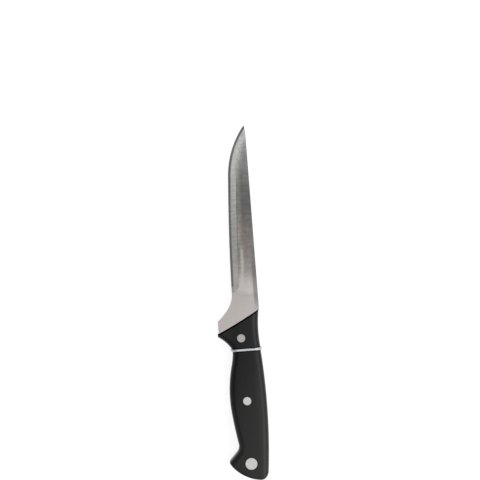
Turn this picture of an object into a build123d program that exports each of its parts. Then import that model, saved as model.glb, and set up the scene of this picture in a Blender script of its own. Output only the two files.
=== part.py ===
from build123d import *
import os

os.makedirs("parts", exist_ok=True)

# A carving knife lying on its side: X runs from the cutting edge to the spine, Y from the butt to
# the tip, and Z through the thickness. While the pieces are drawn, the straight spine lies on
# X = 0, the heel's lower corner on Y = 0 and the middle of the steel on Z = 0. Lengths are in mm.

# Blade
BLADE_LENGTH = 165.0        # heel corner to tip
BLADE_DEPTH = 20.75         # spine to edge, where the ground edge ends
BLADE_THICKNESS = 2.0
TIP_DROP = 1.0              # how far the tip lies below the line of the spine
TIP_RUN = 9.0               # length over which the spine drops
BELLY_LENGTH = 39.3         # the strongly curved end of the cutting edge
BELLY_DEPTH_SHARE = 0.795   # of the blade's depth, where that curve ends
EDGE_LEAN = 4.3             # degrees between the edge and the spine there
FLARE_LENGTH = 30.5         # heel corner to where the edge turns down to the heel
FLARE_KNEE_SHARES = (0.27, 0.49)    # of the flare's depth and length, where its curve eases
HEEL_DEPTH = 33.85          # spine to the heel's straight end
HEEL_HEIGHT = 9.3           # that straight end
HEEL_ROUND = 0.8

# Grinding
GRIND_LENGTH = 38.0         # heel corner to the middle of the ground band's rounded end
GRIND_WIDTH = 6.4           # ground band
EDGE_WIDTH = 1.7            # fine bevel along the cutting edge
EDGE_THICKNESS = 0.42       # steel that the first grind leaves at the edge
EDGE_LAND = 0.06            # steel that the fine bevel leaves
GRIND_TURN = 150.0          # degrees that the band's rounded end turns through

# Tang
TANG_INSET = 9.1            # spine to the tang's upper side
TANG_WIDTH = 13.0
TANG_BUTT_GAP = 8.0         # tang's end to the butt
TANG_CORNER = 2.5
SHOULDER_SHARES = ((0.35, 0.70), (1.0, 0.25))   # of the tang's inset and of the front's rise
TANG_ROOT = 9.0             # heel corner to where the tang's lower side starts

# Handle
HANDLE_LENGTH = 118.8       # heel corner to butt
HANDLE_THICKNESS = 16.4     # over the grip's flat sides, and over the collar
SIDE_ROUND = 4.6            # rounding along the handle
WAIST_WIDTH = 23.0          # handle at the collar
WAIST_INSET = 1.25          # spine to the handle's upper side at the collar

# Front scales
FRONT_RISE = 17.0           # heel corner to the front corner at the spine
FRONT_FALL = 0.6            # heel corner to the front edge's lower end
FRONT_SAG = 0.5             # bow of the front edge
FRONT_LEAN = 9.0            # degrees that the front face leans back
BEAK_OVERHANG = 0.7         # how far the beak reaches below the heel
BEAK_DROP = 3.0             # heel corner to the beak's rear corner
CHOIL_HOLLOW = 0.9          # hollow of the finger rest behind the beak
SADDLE_DEPTH = 0.8          # rise of the hollow upper side at the front corner
SADDLE_SHARES = (0.5, 0.8)  # of the front scale's length and of that rise, where it is deepest

# Grips
GRIP_CROWN = 1.8            # swell of the grip's upper side over the waist
CROWN_SHARE = 0.415         # of the grip's length, where it is highest
BUTT_INSET = 3.5            # spine to the upper side at the butt
GRIP_BELLY = 4.5            # swell of the grip's lower side below the waist
BELLY_SHARES = ((0, -0.107), (0.107, 0.264), (0.392, 1.014), (0.468, 0.90))
NOTCH_SHARES = (0.755, -0.085)      # of the grip's length and belly, the corner before the hook
NOTCH_RADIUS = 8.0
HOOK_REACH = 9.1            # the hook's point below the waist
HOOK_LENGTH = 15.3          # butt to the hook's point
BUTT_SHARES = ((0.71, 0.35), (0.285, 0))    # of the hook's depth and length, along the butt
BUTT_CORNER_SHARES = (0.10, 0.22)   # of the same, where the butt turns up to the spine side
BUTT_ROUND = 1.7
SWELL_LENGTH = 17.0         # length over which each grip thickens behind the collar

# Collar
COLLAR_SETBACK = 14.4       # heel corner to the collar's middle
COLLAR_WIDTH = 1.9
COLLAR_PROUD = 1.1
COLLAR_EASING = 0.3         # bevel of its rim

# Rivets
FRONT_RIVET_SETBACK = 4.9   # heel corner to rivet
MIDDLE_RIVET_SETBACK = 55.1
REAR_RIVET_GAP = 13.6       # rivet to butt
RIVET_OFFSET_SHARES = {"front": 0.04, "middle": -0.03, "rear": 0.01}    # of the tang's width
HEAD_DIAMETERS = {"front": 7.0, "middle": 7.0, "rear": 9.9}
HEAD_HEIGHT = 1.8
SHANK_DIAMETER = 5.0
PIN_DIAMETER = 3.2
PIN_GAP = 0.6               # room at the end of the pin, and of the tube

# Clearances
TANG_CLEARANCE = 0.1
RIVET_CLEARANCE = 0.05
OVERRUN = 4.0               # how far cutters reach past what they cut
NEAR = 0.02                 # how closely an edge follows the curve that it was drawn from

# Worked out from the sizes above
WAIST_DEPTH = WAIST_INSET + WAIST_WIDTH
WAIST_THICKNESS = HANDLE_THICKNESS - 2 * COLLAR_PROUD
COLLAR_FRONT = -COLLAR_SETBACK + COLLAR_WIDTH / 2
COLLAR_REAR = -COLLAR_SETBACK - COLLAR_WIDTH / 2
GRIP_LENGTH = HANDLE_LENGTH + COLLAR_REAR
TANG_MIDDLE = TANG_INSET + TANG_WIDTH / 2
BEAK_DEPTH = HEEL_DEPTH + BEAK_OVERHANG
HOOK_DEPTH = WAIST_DEPTH + HOOK_REACH
RIVET_SETBACKS = {
    "front": FRONT_RIVET_SETBACK,
    "middle": MIDDLE_RIVET_SETBACK,
    "rear": HANDLE_LENGTH - REAR_RIVET_GAP,
}


def at(depth, rise):
    """A point of the drawing, by its depth below the spine and its rise above the heel corner."""
    return Vector(-depth, rise)


def slab(face, thickness):
    """A face drawn on the middle plane, thickened evenly to both sides."""
    return extrude(face, thickness / 2, both=True)


def outline(*curves):
    """The face inside a closed chain of curves."""
    return make_face([edge for curve in curves for edge in curve.edges()])


def corner(face, point):
    """The corner of a drawn face that lies at a point."""
    return face.vertices().sort_by_distance(point)[0]


def edge_curves():
    """The ground cutting edge: a belly arc that ends in the tip, and a long shallow arc."""
    tip = at(TIP_DROP, BLADE_LENGTH)
    belly_end = at(BLADE_DEPTH * BELLY_DEPTH_SHARE, BLADE_LENGTH - BELLY_LENGTH)
    grind_end = at(BLADE_DEPTH, GRIND_LENGTH)
    forward = Axis.Y.direction.rotate(Axis.Z, -EDGE_LEAN)
    belly = TangentArc(belly_end, tip, tangent=forward)
    shallow = TangentArc(belly_end, grind_end, tangent=-forward)
    return belly, shallow


def blade_plan():
    """Outline of the steel: blade, flared heel, hidden shoulders and tang."""
    belly, shallow = edge_curves()
    tip_start = at(0, BLADE_LENGTH - TIP_RUN)
    tip_curve = TangentArc(tip_start, belly @ 1, tangent=Axis.Y.direction)

    # The edge runs on past the grind, then turns down to the heel in two arcs
    grind_end = shallow @ 1
    straight = Line(grind_end, grind_end + (shallow % 1) * (GRIND_LENGTH - FLARE_LENGTH))
    knee = at(
        BLADE_DEPTH + (HEEL_DEPTH - BLADE_DEPTH) * FLARE_KNEE_SHARES[0],
        HEEL_HEIGHT + (FLARE_LENGTH - HEEL_HEIGHT) * FLARE_KNEE_SHARES[1],
    )
    flare = TangentArc(straight @ 1, knee, tangent=straight % 1)
    heel_top = at(HEEL_DEPTH, HEEL_HEIGHT)
    heel_curve = TangentArc(knee, heel_top, tangent=flare % 1)
    heel_foot = at(HEEL_DEPTH, -FRONT_FALL)

    # Inside the handle the plate narrows to the tang, which passes through the collar
    tang_end = TANG_BUTT_GAP - HANDLE_LENGTH
    tang_lower = TANG_INSET + TANG_WIDTH
    shoulders = [
        at(TANG_INSET * inset_share, FRONT_RISE * rise_share)
        for inset_share, rise_share in SHOULDER_SHARES
    ]
    tang_corners = [at(tang_lower, tang_end), at(TANG_INSET, tang_end)]
    hidden = Polyline(
        heel_top,
        heel_foot,
        at(tang_lower, -TANG_ROOT),
        *tang_corners,
        *reversed(shoulders),
        at(0, FRONT_RISE),
        tip_start,
    )
    face = outline(tip_curve, belly, shallow, straight, flare, heel_curve, hidden)
    for point in (heel_top, heel_foot):
        face = fillet(corner(face, point), HEEL_ROUND)
    for point in tang_corners:
        face = fillet(corner(face, point), TANG_CORNER)
    return face


def grind_cutter(width, edge_height, inner_height):
    """What one grind takes off the lower side: a wedge along the edge and its rounded end.

    The heights are those of the ground face from the middle plane, at the edge and at the band's
    inner line.
    """
    belly, shallow = edge_curves()
    lead = Line((belly @ 1) + (belly % 1) * OVERRUN, belly @ 1)
    path = Wire([*lead.edges(), *belly.edges(), *shallow.edges()])
    slope = (inner_height - edge_height) / width
    beyond = edge_height / slope / 2
    top = BLADE_THICKNESS

    def across(place, *points):
        """A section of the cutter, drawn square to the edge there: outwards, and down."""
        outward = (path % place).cross(Axis.Z.direction)
        plane = Plane(origin=path @ place, x_dir=outward, z_dir=path % place)
        return plane * make_face(Polyline(*points, close=True))

    inner_points = [(-width, top), (-width, inner_height)]
    wedge = across(0, *inner_points, (beyond, edge_height - slope * beyond), (beyond, top))
    run = sweep(wedge, path)
    quarter = across(1, *inner_points, (0, edge_height), (0, top))
    rounded_end = revolve(quarter, Axis(path @ 1, -Axis.Z.direction), GRIND_TURN)
    return run + rounded_end


def rivet_place(name):
    """Where a rivet's axis crosses the middle plane."""
    depth = TANG_MIDDLE + TANG_WIDTH * RIVET_OFFSET_SHARES[name]
    return Pos(at(depth, -RIVET_SETBACKS[name]))


def blade():
    """The steel plate, ground on both sides and drilled for the rivets."""
    steel = slab(blade_plan(), BLADE_THICKNESS)
    edge_height = EDGE_THICKNESS / 2
    flat_height = BLADE_THICKNESS / 2
    bevel_height = edge_height + (flat_height - edge_height) * EDGE_WIDTH / GRIND_WIDTH
    grinds = (
        (GRIND_WIDTH, edge_height, flat_height),
        (EDGE_WIDTH, EDGE_LAND / 2, bevel_height),
    )
    for width, outer, inner in grinds:
        cutter = grind_cutter(width, outer, inner)
        steel -= cutter
        steel -= mirror(cutter, about=Plane.XY)
    hole = Cylinder(SHANK_DIAMETER / 2 + RIVET_CLEARANCE, BLADE_THICKNESS + OVERRUN)
    for name in RIVET_SETBACKS:
        steel -= rivet_place(name) * hole
    return steel


def half_holes(piece, half_thickness, names):
    """A scale hollowed for its half of the plate and for the rivets, with seats for their heads."""
    piece -= extrude(offset(blade_plan(), TANG_CLEARANCE), BLADE_THICKNESS / 2)
    through = Cylinder(SHANK_DIAMETER / 2 + RIVET_CLEARANCE, HANDLE_THICKNESS)
    for name in names:
        seat = Cylinder(HEAD_DIAMETERS[name] / 2 + RIVET_CLEARANCE, 2 * HEAD_HEIGHT)
        piece -= rivet_place(name) * through
        piece -= rivet_place(name) * Pos(Z=half_thickness) * seat
    return piece


def upper_rims(body, *curves):
    """The edges of a half handle's broad face that follow these curves of its plan."""
    rims = []
    for edge in body.edges():
        middle = edge @ 0.5
        foot = Vertex(middle.X, middle.Y, 0)
        if middle.Z > WAIST_THICKNESS / 4 and min(curve.distance_to(foot) for curve in curves) < NEAR:
            rims.append(edge)
    return rims


def front_scale():
    """The upper front scale: saddled above, hollowed behind its beak, with a leaning front.

    Its rounding runs on past the beak and is cut off there.
    """
    length = FRONT_RISE - COLLAR_FRONT
    saddle = ThreePointArc(
        at(WAIST_INSET, COLLAR_FRONT),
        at(WAIST_INSET + SADDLE_DEPTH * SADDLE_SHARES[1], COLLAR_FRONT + length * SADDLE_SHARES[0]),
        at(WAIST_INSET - SADDLE_DEPTH, FRONT_RISE),
    )
    waist_lower = at(WAIST_DEPTH, COLLAR_FRONT)
    beak_rear = at(BEAK_DEPTH, -BEAK_DROP)
    choil = SagittaArc(waist_lower, beak_rear, -CHOIL_HOLLOW)
    past_corner = (saddle @ 1) + (saddle % 1) * OVERRUN
    past_beak = beak_rear + (choil % 1) * 2 * OVERRUN
    run_off = Line(beak_rear, past_beak)
    plan = outline(
        saddle,
        Line(saddle @ 0, waist_lower),
        choil,
        run_off,
        Polyline(past_beak, Vector(past_beak.X, past_corner.Y), past_corner, saddle @ 1),
    )
    half = WAIST_THICKNESS / 2
    block = extrude(plan, half)
    rounded = fillet(upper_rims(block, saddle, choil, run_off), SIDE_ROUND)
    body = split(rounded, Plane(at(BEAK_DEPTH, 0), z_dir=Axis.X.direction))

    # The front edge runs slantwise from the spine to the beak, and its face leans back
    corner_point = saddle @ 1
    beak_point = at(BEAK_DEPTH, -FRONT_FALL)
    front_edge = SagittaArc(corner_point, beak_point, FRONT_SAG)
    corner_out = corner_point - (front_edge % 0) * OVERRUN
    beak_out = beak_point + (front_edge % 1) * OVERRUN
    ahead = Axis.Y.direction * length
    front = outline(
        Line(corner_out, corner_point),
        front_edge,
        Polyline(beak_point, beak_out, beak_out + ahead, corner_out + ahead, corner_out),
    )
    body -= extrude(front, HANDLE_THICKNESS, taper=-FRONT_LEAN)
    return half_holes(body, half, ["front"])


def grip_side_view(half):
    """The grip from the side: it swells behind the collar to the level of its flat sides."""
    level_start = Vector(COLLAR_REAR - SWELL_LENGTH, half)
    neck = Vector(COLLAR_REAR, WAIST_THICKNESS / 2)
    swell = TangentArc(level_start, neck, tangent=Axis.X.direction)
    past = neck + (swell % 1) * OVERRUN
    butt = Vector(-HANDLE_LENGTH - OVERRUN, half)
    profile = outline(
        Line(butt, level_start),
        swell,
        Polyline(neck, past, Vector(past.X, -half), Vector(butt.X, -half), butt),
    )
    return extrude(Plane.YZ * profile, HOOK_DEPTH + OVERRUN, both=True)


def grip_scale():
    """The upper grip scale: belly, finger notch and hooked butt."""
    waist, swell_start, swell_top, swell_end, notch = [
        at(WAIST_DEPTH + GRIP_BELLY * depth_share, COLLAR_REAR - GRIP_LENGTH * length_share)
        for length_share, depth_share in (*BELLY_SHARES, NOTCH_SHARES)
    ]
    belly = ThreePointArc(swell_start, swell_top, swell_end)
    neck = TangentArc(swell_start, waist, tangent=-(belly % 0))
    run_out = TangentArc(swell_end, notch, tangent=belly % 1)
    hook = at(HOOK_DEPTH, HOOK_LENGTH - HANDLE_LENGTH)
    past_hook = hook + (hook - notch).normalized() * OVERRUN
    foot = -HANDLE_LENGTH - OVERRUN
    crown_start = at(WAIST_INSET, COLLAR_REAR)
    crown_top = at(WAIST_INSET - GRIP_CROWN, COLLAR_REAR - GRIP_LENGTH * CROWN_SHARE)
    crown = ThreePointArc(crown_start, crown_top, at(BUTT_INSET, foot))
    hook_side = Line(notch, past_hook)
    plan = outline(
        neck,
        belly,
        run_out,
        hook_side,
        Polyline(past_hook, Vector(past_hook.X, foot), crown @ 1),
        crown,
        Line(crown_start, waist),
    )
    plan = fillet(corner(plan, notch), NOTCH_RADIUS)
    half = HANDLE_THICKNESS / 2
    body = extrude(plan, half) & grip_side_view(half)
    notch_arc = plan.edges().sort_by_distance(notch)[0]
    rims = upper_rims(body, neck, belly, run_out, hook_side, notch_arc, crown)
    body = fillet(rims, SIDE_ROUND)
    cutter = butt_cutter(hook)
    trimmed = body - cutter
    butt_rims = new_edges(body, cutter, combined=trimmed)
    butt_rims = [edge for edge in butt_rims if edge.bounding_box().max.Z > NEAR]
    return half_holes(fillet(butt_rims, BUTT_ROUND), half, ["middle", "rear"])


def butt_cutter(hook):
    """What lies past the butt: its long curve from the hook, and its turn up to the spine side."""
    middle, low = [
        at(HOOK_DEPTH * depth_share, HOOK_LENGTH * length_share - HANDLE_LENGTH)
        for depth_share, length_share in BUTT_SHARES
    ]
    turn = at(
        HOOK_DEPTH * BUTT_CORNER_SHARES[0], HOOK_LENGTH * BUTT_CORNER_SHARES[1] - HANDLE_LENGTH
    )
    long_curve = ThreePointArc(hook, middle, low)
    short_curve = TangentArc(low, turn, tangent=long_curve % 1)
    start = hook - (long_curve % 0) * 3 * OVERRUN
    end = turn + (short_curve % 1) * 2 * OVERRUN
    below = -HANDLE_LENGTH - 2 * OVERRUN
    region = outline(
        Line(start, hook),
        long_curve,
        short_curve,
        Polyline(turn, end, Vector(end.X, below), Vector(start.X, below), start),
    )
    return slab(region, 2 * HANDLE_THICKNESS)


def collar():
    """The proud steel collar: a plate with an eased rim and a slot for the tang."""
    section = RectangleRounded(
        WAIST_WIDTH + 2 * COLLAR_PROUD,
        HANDLE_THICKNESS,
        SIDE_ROUND + COLLAR_PROUD,
    )
    plate = slab(Plane.XZ * section, COLLAR_WIDTH)
    plate = chamfer(plate.faces().filter_by(Axis.Y).edges(), COLLAR_EASING)
    slot = Box(
        TANG_WIDTH + 2 * TANG_CLEARANCE, COLLAR_WIDTH + OVERRUN, BLADE_THICKNESS + 2 * TANG_CLEARANCE
    )
    plate = Pos(at(WAIST_INSET + WAIST_WIDTH / 2, -COLLAR_SETBACK)) * plate
    return plate - Pos(at(TANG_MIDDLE, -COLLAR_SETBACK)) * slot


def rivet(name, half_thickness):
    """A two-part rivet: a head with a tube, and a head with the pin that is pressed into it."""
    seat = half_thickness - HEAD_HEIGHT
    head = Pos(Z=seat + HEAD_HEIGHT / 2) * Cylinder(HEAD_DIAMETERS[name] / 2, HEAD_HEIGHT)
    tube_length = 2 * seat - PIN_GAP
    tube = Cylinder(SHANK_DIAMETER / 2, tube_length)
    bore = Cylinder(PIN_DIAMETER / 2 + RIVET_CLEARANCE, tube_length)
    pin = Cylinder(PIN_DIAMETER / 2, tube_length)
    female = head + Pos(Z=PIN_GAP / 2) * (tube - bore)
    male = mirror(head, about=Plane.XY) + Pos(Z=-PIN_GAP / 2) * pin
    return rivet_place(name) * female, rivet_place(name) * male


def build():
    """Every piece by name, in the drawing's frame."""
    front, grip = front_scale(), grip_scale()
    pieces = {
        "blade": blade(),
        "front_scale_left": front,
        "front_scale_right": mirror(front, about=Plane.XY),
        "collar_ring": collar(),
        "grip_scale_left": grip,
        "grip_scale_right": mirror(grip, about=Plane.XY),
    }
    half_thicknesses = {
        "front": WAIST_THICKNESS / 2,
        "middle": HANDLE_THICKNESS / 2,
        "rear": HANDLE_THICKNESS / 2,
    }
    for name, half in half_thicknesses.items():
        female, male = rivet(name, half)
        pieces[f"{name}_rivet_female"] = female
        pieces[f"{name}_rivet_male"] = male
    return pieces


pieces = build()
box = Compound([solid for piece in pieces.values() for solid in piece.solids()]).bounding_box()
to_frame = Pos(-box.center().X, -box.center().Y, HANDLE_THICKNESS / 2)
for name, piece in pieces.items():
    export_step(to_frame * piece, f"parts/{name}.step")
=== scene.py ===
import math

import bpy
import numpy as np
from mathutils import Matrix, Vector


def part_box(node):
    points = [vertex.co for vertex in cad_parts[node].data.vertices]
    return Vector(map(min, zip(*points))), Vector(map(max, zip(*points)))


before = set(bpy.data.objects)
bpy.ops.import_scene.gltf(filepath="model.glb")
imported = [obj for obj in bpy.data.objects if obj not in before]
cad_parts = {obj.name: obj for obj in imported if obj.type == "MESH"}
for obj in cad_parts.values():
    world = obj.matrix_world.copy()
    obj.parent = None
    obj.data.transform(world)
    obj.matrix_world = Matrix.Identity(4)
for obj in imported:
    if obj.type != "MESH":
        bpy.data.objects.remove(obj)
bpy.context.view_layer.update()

# Blade. A flat plate of stainless steel, blanked with its flared heel and its tang, then ground
# along the edge in two steps. Fine marks run across it, and its satin finish is slightly uneven.
# Its colour along the length is partly the steel's tone and partly painted reflection, lighter by
# the handle and at the tip.
MILLIMETRE = 0.001
blade_low, blade_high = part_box("blade")
BLADE_LENGTH = 165 * MILLIMETRE
HEEL_Y = blade_high.y - BLADE_LENGTH
MID_HEIGHT = (blade_low.z + blade_high.z) / 2
SPINE_X = blade_high.x
BLADE_DEPTH = 20.75 * MILLIMETRE
BELLY_DEPTH = 16.5 * MILLIMETRE
BELLY_Y = blade_high.y - 39.3 * MILLIMETRE
GRIND_Y = HEEL_Y + 38 * MILLIMETRE
TIP_DROP = 1 * MILLIMETRE
EDGE_LEAN = math.radians(4.3)
FINE_BEVEL = 1.7 * MILLIMETRE
BEVEL_SHADE = 0.9 * MILLIMETRE
TONGUE_RAG = 0.4 * MILLIMETRE

# How upright a face's normal is where each grind starts, and where it is whole
BAND_UPRIGHT = (0.999, 0.996)
BEVEL_UPRIGHT = (0.988, 0.982)

# Colours by the share of the blade's length, from the heel to the tip, for the flat and the band:
# partly the steel's tone and partly painted reflection
FLAT_TONES = [
    (0.0, (0.69, 0.635, 0.615)),
    (0.18, (0.71, 0.655, 0.635)),
    (0.205, (0.85, 0.785, 0.76)),
    (0.255, (0.79, 0.73, 0.70)),
    (0.29, (0.585, 0.54, 0.52)),
    (0.4, (0.5, 0.46, 0.44)),
    (0.5, (0.485, 0.45, 0.435)),
    (0.6, (0.38, 0.36, 0.345)),
    (0.76, (0.355, 0.355, 0.335)),
    (0.87, (0.46, 0.465, 0.44)),
    (0.95, (0.68, 0.69, 0.655)),
]
GROUND_TONES = [
    (0.22, (0.6, 0.58, 0.555)),
    (0.26, (0.7, 0.675, 0.65)),
    (0.34, (0.575, 0.565, 0.54)),
    (0.46, (0.56, 0.555, 0.53)),
    (0.56, (0.61, 0.61, 0.585)),
    (0.76, (0.79, 0.795, 0.755)),
    (0.87, (0.92, 0.93, 0.885)),
]

# Shares of that length by which the borders between the flat's colours slant and are ragged
BORDER_SLANT_SHARE = 0.02
BORDER_RAG_SHARE = 0.008

# Shares of that length where a change starts and is whole and, for four of them, where it goes back
SLANT_END_SHARES = (0.35, 0.5)
BAND_FADE_SHARES = (0.7, 0.8)
BELLY_SHADE_SHARES = (0.55, 0.7, 0.82, 0.92)

# The same in millimetres: from the heel for a reach, from the cutting edge for a gap, and past the
# spine for a rim
# Painted shade in a line where the band begins
LINE_REACH = (38, 46, 98, 116)
LINE_GAP = (5.4, 6.3, 6.7, 7.6)
# Painted reflections in a lighter stretch of the flat and a bright tongue beside the band
REFLECTED_REACH = (62, 78, 136, 150)
REFLECTED_GAP = (6.3, 6.9, 8.0, 11.5)
TONGUE_REACH = (38, 57, 62, 71)
TONGUE_GAP = (7.8, 9.3, 9.8, 11.8)
# Painted reflections in a darker strip along the spine and a lighter one further out
STRIP_REACH = (12, 30, 40, 74)
STRIP_RIM = (-4.2, -2.52)
OUTER_REACH = (112, 122, 133, 141)
OUTER_RIM = (-6.3, -4.2)
MARKED_REACH = (30, 60)
BAND_FADE_GAP = (4.5, 8.5)

# What the painted brightness is multiplied by in these stretches and on the bevel, how much of it
# the painted shade beside the bevel takes away, all along and more by the belly, and the share of
# the marks by the heel
LINE_LIGHT = 0.86
BEVEL_LIGHT = 0.85
REFLECTED_LIGHT = 1.55
TONGUE_LIGHT = 1.75
STRIP_LIGHT = 0.55
OUTER_LIGHT = 1.25
BEVEL_SHADE_SHARE = 0.22
BELLY_SHADE_SHARE = 0.24
HEEL_MARKS_SHARE = 0.25


def metres(millimetres, start=0.0):
    """Places in metres that lie these millimetres past the start."""
    return [start + length * MILLIMETRE for length in millimetres]


def new_finish(name):
    """A material, its shader and the object's own coordinates."""
    material = bpy.data.materials.new(name)
    material.use_nodes = True
    nodes = material.node_tree.nodes
    place = nodes.new("ShaderNodeTexCoord").outputs["Object"]
    return material, nodes["Principled BSDF"], place


def node(kind, inputs, **settings):
    """A node of the tree that its first linked input belongs to, with its inputs linked or set."""
    tree = next(value.node.id_data for value in inputs.values() if hasattr(value, "node"))
    made = tree.nodes.new(kind)
    for key, value in settings.items():
        setattr(made, key, value)
    for key, value in inputs.items():
        if hasattr(value, "node"):
            tree.links.new(value, made.inputs[key])
        else:
            made.inputs[key].default_value = value
    return made


def join(source, shader, name):
    """Links a node's output to one of the shader's sockets."""
    shader.id_data.links.new(source, shader.inputs[name])


def axes(vector):
    """The X, Y and Z parts of a vector."""
    return tuple(node("ShaderNodeSeparateXYZ", {0: vector}).outputs)


def marks(place, lengths, detail=2.0):
    """Noise whose grains are about these lengths, in millimetres along X, Y and Z."""
    scale = [1 / length for length in metres(lengths)]
    stretched = node("ShaderNodeMapping", {"Vector": place, "Scale": scale})
    noise = node(
        "ShaderNodeTexNoise",
        {"Vector": stretched.outputs[0], "Scale": 1.0, "Detail": detail, "Roughness": 0.55},
    )
    return noise.outputs[0]


def spread(value, low, high, to_low=0.0, to_high=1.0, steps="SMOOTHSTEP"):
    """The value moved from one range to another, by default with a smooth step at both ends."""
    ranged = node(
        "ShaderNodeMapRange",
        {"Value": value, "From Min": low, "From Max": high, "To Min": to_low, "To Max": to_high},
        interpolation_type=steps,
    )
    return ranged.outputs[0]


def spread_evenly(value, low, high, to_low=0.0, to_high=1.0):
    """The value moved from one range to another in a straight line."""
    return spread(value, low, high, to_low, to_high, "LINEAR")


def vary(noise, low, high):
    """Noise, which mostly lies between 0.3 and 0.7, moved to a range of its own."""
    return spread(noise, 0.3, 0.7, low, high)


def sums(operation, first, second=0.0):
    """The result of one arithmetic step."""
    return node("ShaderNodeMath", {0: first, 1: second}, operation=operation).outputs[0]


def times(first, *others):
    """The product of several values."""
    for other in others:
        first = sums("MULTIPLY", first, other)
    return first


def scaled(light, share, factor):
    """The light where the share is 0, and the light times the factor where it is 1."""
    return times(light, spread_evenly(share, 0.0, 1.0, 1.0, factor))


def hump(value, stops):
    """A share that rises from 0 to 1 between the first two stops and falls back between the others."""
    low, top_low, top_high, high = stops
    return times(spread(value, low, top_low), spread(value, top_high, high, 1.0, 0.0))


def ramp(value, stops):
    """A colour for the value, from stops of a place and a grey or a colour."""
    made = node("ShaderNodeValToRGB", {0: value})
    elements = made.color_ramp.elements
    while len(elements) < len(stops):
        elements.new(0.5)
    for element, (position, colour) in zip(elements, stops):
        element.position = position
        element.color = (*colour, 1) if hasattr(colour, "__len__") else (colour, colour, colour, 1)
    return made.outputs[0]


def grey(level):
    """A grey of this level."""
    return node("ShaderNodeCombineColor", {0: level, 1: level, 2: level}).outputs[0]


def blend(share, first, second):
    """Two values mixed by a share."""
    return node("ShaderNodeMix", {0: share, 2: first, 3: second}, data_type="FLOAT").outputs[0]


def blend_colours(share, first, second, blend_type="MIX"):
    """Two colours mixed by a share."""
    mixed = node(
        "ShaderNodeMix", {0: share, 6: first, 7: second}, data_type="RGBA", blend_type=blend_type
    )
    return mixed.outputs[2]


def bump(height, strength, depth):
    """A relief of this depth in millimetres, as a normal."""
    made = node(
        "ShaderNodeBump", {"Height": height, "Strength": strength, "Distance": depth * MILLIMETRE}
    )
    return made.outputs[0]


def dress(name, material):
    """Puts the finish on a CAD node, in material slots linked to the object."""
    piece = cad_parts[name]
    if not piece.material_slots:
        piece.data.materials.append(material)
    for holder in piece.material_slots:
        holder.link = "OBJECT"
        holder.material = material


def ground_shares(nodes):
    """How much of each grind a point belongs to, from how far its face leans: band, then bevel."""
    normal = nodes.new("ShaderNodeNewGeometry").outputs["True Normal"]
    level = sums("ABSOLUTE", axes(normal)[2])
    return spread(level, *BAND_UPRIGHT), spread(level, *BEVEL_UPRIGHT)


def arc_round(start, end, lean):
    """Centre and radius of the arc between two points whose tangent at the first leans so far."""
    inward = np.array([math.cos(lean), -math.sin(lean)])
    chord = np.array(end) - np.array(start)
    radius = chord @ chord / (2 * chord @ inward)
    return np.array(start) + radius * inward, radius


def from_edge(place, along):
    """How far a point lies from the cutting edge, which is two arcs that meet at the belly."""
    belly_end = (SPINE_X - BELLY_DEPTH, BELLY_Y)
    distances = []
    for end in ((SPINE_X - BLADE_DEPTH, GRIND_Y), (SPINE_X - TIP_DROP, blade_high.y)):
        centre, radius = arc_round(belly_end, end, EDGE_LEAN)
        middle = (*centre, MID_HEIGHT)
        gap = node("ShaderNodeVectorMath", {0: place, 1: middle}, operation="DISTANCE")
        distances.append(sums("SUBTRACT", radius, gap.outputs["Value"]))
    past = sums("GREATER_THAN", along, BELLY_Y)
    return blend(past, *distances)


def flat_tone(share, across, ragged):
    """The flat's colour, whose borders are ragged and, by the handle, slant across the blade."""
    width = (SPINE_X - BLADE_DEPTH, SPINE_X)
    slant = spread_evenly(across, *width, -BORDER_SLANT_SHARE, BORDER_SLANT_SHARE)
    slant = times(slant, spread(share, *SLANT_END_SHARES, 1.0, 0.0))
    border = sums("ADD", sums("ADD", share, slant), times(ragged, BORDER_RAG_SHARE))
    return ramp(border, FLAT_TONES)


def ground_tone_share(share, gap, band):
    """How much a point has the ground colour. Near the tip, the band has no hard border."""
    faded = times(spread(share, *BAND_FADE_SHARES), spread(gap, *metres(BAND_FADE_GAP), 1.0, 0.0))
    whole = times(band, spread(share, *BAND_FADE_SHARES, 1.0, 0.0))
    return sums("ADD", whole, faded)


def grind_light(share, along, gap, band, bevel, ragged):
    """Painted shade where the band begins, on the bevel and beside it; painted reflections on the flat.
    """
    # Painted shade in a line where the band begins, on the bevel and beside it
    line = times(hump(gap, metres(LINE_GAP)), hump(along, metres(LINE_REACH, HEEL_Y)))
    # Painted reflections in a lighter stretch of the flat and a bright tongue beside the band
    reflected = times(hump(gap, metres(REFLECTED_GAP)), hump(along, metres(REFLECTED_REACH, HEEL_Y)))
    wavy = sums("ADD", gap, times(ragged, TONGUE_RAG))
    tongue = times(hump(along, metres(TONGUE_REACH, HEEL_Y)), hump(wavy, metres(TONGUE_GAP)))
    light = spread_evenly(line, 0.0, 1.0, 1.0, LINE_LIGHT)
    light = scaled(light, bevel, BEVEL_LIGHT)
    beside = times(band, spread(gap, FINE_BEVEL, FINE_BEVEL + BEVEL_SHADE, 1.0, 0.0))
    belly = times(hump(share, BELLY_SHADE_SHARES), BELLY_SHADE_SHARE)
    shade = times(beside, sums("ADD", belly, BEVEL_SHADE_SHARE))
    light = times(light, sums("SUBTRACT", 1.0, shade))
    light = scaled(light, reflected, REFLECTED_LIGHT)
    return scaled(light, tongue, TONGUE_LIGHT)


def spine_light(light, across, along):
    """Painted reflections: darker in a strip along the spine by the handle, lighter in one further out.
    """
    strip = spread(across, *metres(STRIP_RIM, SPINE_X))
    strip = times(strip, hump(along, metres(STRIP_REACH, HEEL_Y)))
    outer = spread(across, *metres(OUTER_RIM, SPINE_X))
    outer = times(outer, hump(along, metres(OUTER_REACH, HEEL_Y)))
    return scaled(scaled(light, strip, STRIP_LIGHT), outer, OUTER_LIGHT)


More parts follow.
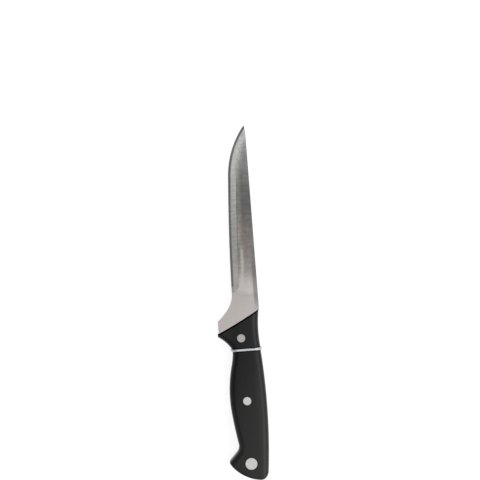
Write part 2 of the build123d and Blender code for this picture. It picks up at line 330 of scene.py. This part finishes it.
def blade_finish():
    """Satin steel: marks across it, and tones, painted reflections and shade along its length and
    grinds.
    """
    material, shader, place = new_finish("ground_steel")
    across, along, _ = axes(place)
    fine = marks(place, (9, 0.16, 0.16))
    coarse = marks(place, (14, 1.1, 1.1), 3.0)
    blotch = marks(place, (3, 3.5, 3), 3.0)
    ragged = spread_evenly(marks(place, (2.5, 6, 2.5), 3.0), 0.3, 0.7, -1.0, 1.0)
    share = spread_evenly(along, HEEL_Y, blade_high.y)
    gap = from_edge(place, along)
    band, bevel = ground_shares(material.node_tree.nodes)

    flat = flat_tone(share, across, ragged)
    ground = ramp(share, GROUND_TONES)
    tone = blend_colours(ground_tone_share(share, gap, band), flat, ground)
    light = grind_light(share, along, gap, band, bevel, ragged)
    light = spine_light(light, across, along)
    marked = spread(along, *metres(MARKED_REACH, HEEL_Y), HEEL_MARKS_SHARE, 1.0)
    uneven = sums("ADD", vary(coarse, -0.06, 0.06), vary(blotch, -0.08, 0.08))
    uneven = sums("ADD", uneven, spread(fine, 0.25, 0.75, -0.05, 0.05))
    light = times(light, sums("ADD", times(uneven, marked), 1.0))

    # The painted shade and reflections darken and lighten the steel's colour
    join(blend_colours(1.0, tone, grey(light), "MULTIPLY"), shader, "Base Color")
    shader.inputs["Metallic"].default_value = 1.0
    rough = sums("ADD", vary(coarse, 0.11, 0.12), spread_evenly(band, 0.0, 1.0, 0.0, 0.07))
    join(rough, shader, "Roughness")
    join(bump(fine, 0.15, 0.01), shader, "Normal")
    return material


dress("blade", blade_finish())

# Handle scales. Black plastic, injection moulded in halves that close over the tang: a short
# slanted pair in front of the collar and a long hooked pair behind it. The mould gives them a
# fine satin grain.
RIVET_PLACES = ("front", "middle", "rear")
grip_low, grip_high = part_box("grip_scale_left")
collar_low, collar_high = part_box("collar_ring")
# How far the painted shade round the rivets' heads reaches
RIVET_SHADE_WIDTH = 0.9 * MILLIMETRE
# Painted light: a grey by the heel over this depth, greys added along the spine and on the rim of the
# belly, and a slant of the tone across the handle, lighter towards the spine
CHOIL_DEPTH = 14 * MILLIMETRE
SPINE_SHEEN_GREY = (0.011, 0.0105, 0.01, 1)
CHOIL_LIGHT_GREY = (0.015, 0.015, 0.0145, 1)
CHOIL_LIGHT_SHARE = 0.8
BELLY_SHEEN_GREY = (0.007, 0.007, 0.007, 1)
LIGHT_SLANT_SHARE = 0.12

# The gloss at two places across the handle, and the glancing range over which the front loses it
GLOSS_LEVELS = (0.37, 0.52)
GLOSS_PLACES = (grip_low.x, 0.8 * grip_high.x)
GLANCING = (0.7, 0.765)

# How far a face's normal leans along the handle or across it where the slanted front or the rim of
# the belly starts, and where it is whole
FRONT_LEANS = (0.7, 0.8)
BELLY_LEANS = (-0.25, -0.6)

# Millimetres past the collar's side, between which the painted shade beside it fades out, and past
# the spine, between which the painted sheen along it comes in
COLLAR_SHADE_GAP = (0.2, 1.1)
SPINE_RIM = (-9, -4.5)

# Colours by the share of the grip's length, from the collar to the butt, lighter towards the butt
# by painted light
PLASTIC_TONES = [
    (0.0, (0.0004, 0.0005, 0.0005)),
    (0.2, (0.0012, 0.0012, 0.0011)),
    (0.43, (0.0085, 0.0084, 0.0080)),
    (1.0, (0.0170, 0.0167, 0.0160)),
]


def from_rivet(place, name):
    """The radius of a rivet's head, and how far a point lies from the rivet's axis."""
    low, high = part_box(f"{name}_rivet_male")
    centre = ((low.x + high.x) / 2, (low.y + high.y) / 2, 0)
    level = node("ShaderNodeVectorMath", {0: place, 1: (1, 1, 0)}, operation="MULTIPLY")
    gap = node("ShaderNodeVectorMath", {0: level.outputs[0], 1: centre}, operation="DISTANCE")
    return (high.x - low.x) / 2, gap.outputs["Value"]


def crevices(place, along):
    """A share of 1 that falls to 0 beside the collar and to 0.2 round the rivets' heads: painted shade.
    """
    middle = (collar_low.y + collar_high.y) / 2
    reach = (collar_high.y - collar_low.y) / 2
    gap = sums("ABSOLUTE", sums("SUBTRACT", along, middle))
    unshaded_share = spread(gap, *metres(COLLAR_SHADE_GAP, reach))
    for name in RIVET_PLACES:
        radius, gap = from_rivet(place, name)
        unshaded_share = times(unshaded_share, spread(gap, radius, radius + RIVET_SHADE_WIDTH, 0.2, 1.0))
    return unshaded_share


def facing_shares(nodes):
    """How much a point belongs to the slanted front faces, and to the rim along the belly."""
    normal = nodes.new("ShaderNodeNewGeometry").outputs["True Normal"]
    across, along, _ = axes(normal)
    return spread(along, *FRONT_LEANS), spread(across, *BELLY_LEANS)


def handle_tone(across, along, belly_rim):
    """Black, greyer towards the butt, along the spine, by the heel and on the rim of the belly, all
    by painted light.
    """
    # Painted light: lighter towards the butt and the spine, a sheen along the spine and on the belly's
    # rim, and a grey by the heel
    behind = spread_evenly(along, grip_high.y, grip_low.y)
    slant = spread_evenly(across, grip_low.x, grip_high.x, -LIGHT_SLANT_SHARE, LIGHT_SLANT_SHARE)
    tone = ramp(sums("ADD", behind, slant), PLASTIC_TONES)
    spine = spread(across, *metres(SPINE_RIM, SPINE_X))
    tone = blend_colours(spine, tone, SPINE_SHEEN_GREY, "ADD")
    choil = spread(across, grip_low.x, grip_low.x + CHOIL_DEPTH, 1.0, 0.0)
    choil = times(choil, spread(along, collar_low.y, collar_high.y))
    tone = blend_colours(times(choil, CHOIL_LIGHT_SHARE), tone, CHOIL_LIGHT_GREY)
    return blend_colours(belly_rim, tone, BELLY_SHEEN_GREY, "ADD")


def handle_finish():
    """Black satin plastic with a fine mould grain, with painted shade in crevices and on the front
    faces.
    """
    material, shader, place = new_finish("moulded_plastic")
    grain = marks(place, (0.35, 0.35, 0.35), 3.0)
    patches = marks(place, (9, 16, 9))
    across, along, _ = axes(place)
    unshaded_share = crevices(place, along)
    front, belly_rim = facing_shares(material.node_tree.nodes)

    tone = handle_tone(across, along, belly_rim)
    # Painted shade beside the collar and round the rivets' heads, and black on the slanted front faces
    shade = grey(times(unshaded_share, sums("SUBTRACT", 1.0, front)))
    join(blend_colours(1.0, tone, shade, "MULTIPLY"), shader, "Base Color")
    rough = sums("ADD", vary(patches, 0.28, 0.34), vary(grain, -0.03, 0.03))
    join(rough, shader, "Roughness")
    shader.inputs["IOR"].default_value = 1.4

    # The gloss grows towards the spine, and the front faces lose theirs at a glancing angle
    gloss = spread(across, *GLOSS_PLACES, *GLOSS_LEVELS)
    facing = material.node_tree.nodes.new("ShaderNodeLayerWeight").outputs["Facing"]
    glancing = times(front, spread(facing, *GLANCING))
    gloss = times(gloss, sums("SUBTRACT", 1.0, glancing))
    # The painted shade beside the collar and round the rivets dims the gloss as well
    join(times(unshaded_share, gloss), shader, "Specular IOR Level")
    join(bump(grain, 0.25, 0.02), shader, "Normal")
    return material


plastic = handle_finish()
for side in ("left", "right"):
    dress(f"front_scale_{side}", plastic)
    dress(f"grip_scale_{side}", plastic)

# Collar. A satin steel ring, turned round at its rim and slotted for the tang. It stands a little
# proud of the scales on both sides of it.


def collar_finish():
    """Satin steel with faint turning lines."""
    material, shader, place = new_finish("turned_steel")
    lines = marks(place, (8, 0.12, 8), 1.0)
    join(ramp(lines, [(0.3, (0.66, 0.67, 0.69)), (0.7, (0.70, 0.71, 0.73))]), shader, "Base Color")
    shader.inputs["Metallic"].default_value = 1.0
    join(vary(lines, 0.44, 0.48), shader, "Roughness")
    return material


dress("collar_ring", collar_finish())

# Rivets. Cutler's rivets of steel, in two halves that are pressed together through the tang.
# Their heads are sanded flush with the scales, and the front rivet's are darker.
FRONT_HEAD_GREY = (0.49, 0.46, 0.44)
OTHER_HEAD_GREY = (0.685, 0.67, 0.66)
TONE_CHANGE = 10 * MILLIMETRE
RIM_SHADE_GREY = (0.03, 0.03, 0.03, 1)
RIM_SHADE_SHARE = 0.8

# Millimetres past the head's radius between which its rim of painted shade comes in and goes out
RIM_STOPS = (-0.5, -0.2, 0.1, 0.2)


def rivet_finish():
    """Steel sanded along the handle, with a rim of painted shade round each head."""
    material, shader, place = new_finish("sanded_steel")
    lines = marks(place, (0.12, 4, 4))
    _, along, _ = axes(place)
    front_low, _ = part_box("front_rivet_male")
    behind = spread(along, front_low.y - TONE_CHANGE, front_low.y, 1.0, 0.0)
    tone = ramp(behind, [(0.0, FRONT_HEAD_GREY), (1.0, OTHER_HEAD_GREY)])
    streaks = ramp(lines, [(0.3, 0.93), (0.7, 1.05)])
    tone = blend_colours(1.0, tone, streaks, "MULTIPLY")
    for name in RIVET_PLACES:
        radius, gap = from_rivet(place, name)
        # A rim of painted shade round each head
        rim = hump(gap, metres(RIM_STOPS, radius))
        tone = blend_colours(times(rim, RIM_SHADE_SHARE), tone, RIM_SHADE_GREY)
    join(tone, shader, "Base Color")
    shader.inputs["Metallic"].default_value = 1.0
    join(vary(lines, 0.24, 0.32), shader, "Roughness")
    join(bump(lines, 0.15, 0.005), shader, "Normal")
    return material


sanded = rivet_finish()
for rivet_place in RIVET_PLACES:
    for half in ("male", "female"):
        dress(f"{rivet_place}_rivet_{half}", sanded)

# Floor. A plain white surface under the knife, wide enough for every view. It is seen and
# mirrored as white, and darkens only where the knife shades it.
FLOOR_HALF = 3.0
FLOOR_GREY = (0.25, 0.25, 0.25, 1)
FLOOR_GLOW = 0.88


def floor_finish():
    """Matt white, with a share of its brightness its own, so that shade on it stays light."""
    material, shader, _ = new_finish("white_floor")
    shader.inputs["Base Color"].default_value = FLOOR_GREY
    shader.inputs["Roughness"].default_value = 1.0
    shader.inputs["Specular IOR Level"].default_value = 0.0
    path = material.node_tree.nodes.new("ShaderNodeLightPath")
    seen = sums("MAXIMUM", path.outputs["Is Camera Ray"], path.outputs["Is Glossy Ray"])
    shader.inputs["Emission Color"].default_value = (1, 1, 1, 1)
    join(times(seen, FLOOR_GLOW), shader, "Emission Strength")
    return material


sides = ((-1, -1), (1, -1), (1, 1), (-1, 1))
corners = [(x * FLOOR_HALF, y * FLOOR_HALF, 0) for x, y in sides]
floor_mesh = bpy.data.meshes.new("floor")
floor_mesh.from_pydata(corners, [], [(0, 1, 2, 3)])
floor_mesh.materials.append(floor_finish())
floor = bpy.data.objects.new("floor", floor_mesh)
bpy.context.scene.collection.objects.link(floor)

# Light. A room with its windows on the spine's side, less bright far out there, and dim beyond the
# edge, low down and high up towards the tip. A small dark spot hangs overhead, where the camera is.
# Places in it are parts of a direction of length 1, and a pair says where a change starts and ends.
SPOT_AHEAD = 0.026
SPOT_RIM = (0.018, 0.088)
SPOT_LEVEL = 0.25
LOW_RISE = (0.2, 0.45)
LOW_LEVEL = 0.3
TIP_LEAN = (0.17, 0.34)
TIP_RISE = (0.55, 0.85)
TIP_LEVEL = 0.4

# Brightness by how far a direction leans to the spine's side, from -1 for the edge's side to 1
ROOM_LEVELS = [
    (-1.0, 0.9),
    (-0.8, 0.6),
    (-0.6, 0.3),
    (-0.36, 0.33),
    (-0.24, 0.56),
    (-0.1, 0.68),
    (0.01, 0.7),
    (0.13, 1.5),
    (0.7, 1.55),
    (0.82, 0.95),
]


def light_room():
    """A world whose brightness depends on the direction, and which is seen as plain white."""
    world = bpy.data.worlds.new("room")
    bpy.context.scene.world = world
    world.use_nodes = True
    nodes = world.node_tree.nodes
    x, y, z = axes(nodes.new("ShaderNodeTexCoord").outputs["Generated"])
    light = ramp(spread_evenly(x, -1.0, 1.0), [((lean + 1) / 2, level) for lean, level in ROOM_LEVELS])
    tip_side = spread(y, *TIP_LEAN, 1.0, TIP_LEVEL)
    high_up = spread(z, *TIP_RISE, 1.0, TIP_LEVEL)
    light = times(light, sums("MAXIMUM", tip_side, high_up))
    light = times(light, spread(z, *LOW_RISE, LOW_LEVEL, 1.0))
    ahead = sums("SUBTRACT", y, SPOT_AHEAD)
    reach = sums("SQRT", sums("ADD", times(x, x), times(ahead, ahead)))
    light = times(light, spread(reach, *SPOT_RIM, SPOT_LEVEL, 1.0))

    seen = nodes.new("ShaderNodeLightPath").outputs["Is Camera Ray"]
    world.node_tree.links.new(blend(seen, light, 1.0), nodes["Background"].inputs["Strength"])
    nodes["Background"].inputs["Color"].default_value = (1, 1, 1, 1)


light_room()

# Camera. It looks straight down, turned a little so that the knife leans as it was seen.
CAMERA_HEIGHT = 1.0
CAMERA_OVER = (SPINE_X - 10.94 * MILLIMETRE, HEEL_Y + 73.3 * MILLIMETRE)
FRAME_WIDTH = 385.4 * MILLIMETRE
KNIFE_LEAN = math.radians(4.47)
camera_data = bpy.data.cameras.new("camera")
camera_data.sensor_width = 36
camera_data.lens = camera_data.sensor_width * CAMERA_HEIGHT / FRAME_WIDTH
camera = bpy.data.objects.new("camera", camera_data)
bpy.context.scene.collection.objects.link(camera)
camera.location = (*CAMERA_OVER, CAMERA_HEIGHT + MID_HEIGHT)
camera.rotation_euler = (0, 0, -KNIFE_LEAN)
bpy.context.scene.camera = camera
bpy.context.scene.view_settings.view_transform = "Standard"
